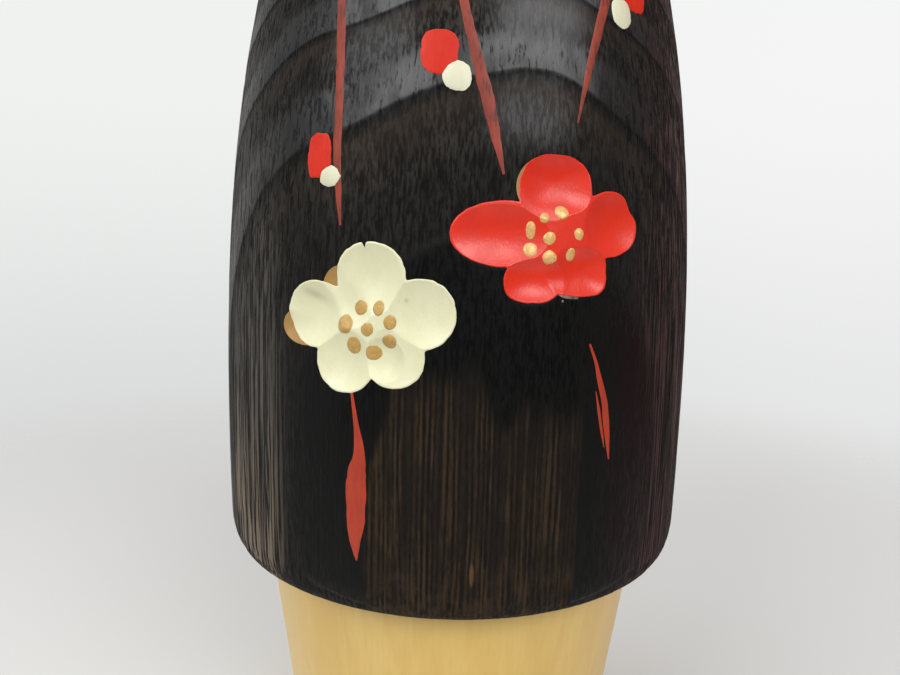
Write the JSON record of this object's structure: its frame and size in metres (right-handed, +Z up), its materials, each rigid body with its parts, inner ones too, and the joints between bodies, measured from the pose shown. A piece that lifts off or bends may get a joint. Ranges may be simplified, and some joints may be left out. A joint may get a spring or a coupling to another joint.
{
  "type": "kokeshi doll",
  "caption": "Turned wooden doll: scorched barrel body with carved and painted plum blossoms, a pale tapered foot and a ball head that turns on a neck peg",
  "frame": {"origin": "centre of the foot's resting face, on the plane that the doll stands on", "axes": "+Z up along the axis that every piece is turned about, -Y the doll's front, +X the doll's left side, which is the right side of a front view"},
  "size_m": [0.1, 0.1, 0.2893],
  "materials": {
    "pale_wood": "waxed smooth pale turned wood",
    "scorched_wood": "scorched, brushed and waxed dark wood with raised grain",
    "dowel_wood": "plain cut hardwood dowel"
  },
  "bodies": {
    "doll": {"foot": "pale_wood", "foot_dowel": "dowel_wood", "body": "scorched_wood", "neck_dowel": "dowel_wood"},
    "head": {"head": "pale_wood"}
  },
  "joints": [
    {"name": "neck_turn", "type": "hinge", "parent": "doll", "child": "head", "pos_m": [0, 0, 0.2183], "axis": [0, 0, 1], "continuous": true}
  ]
}
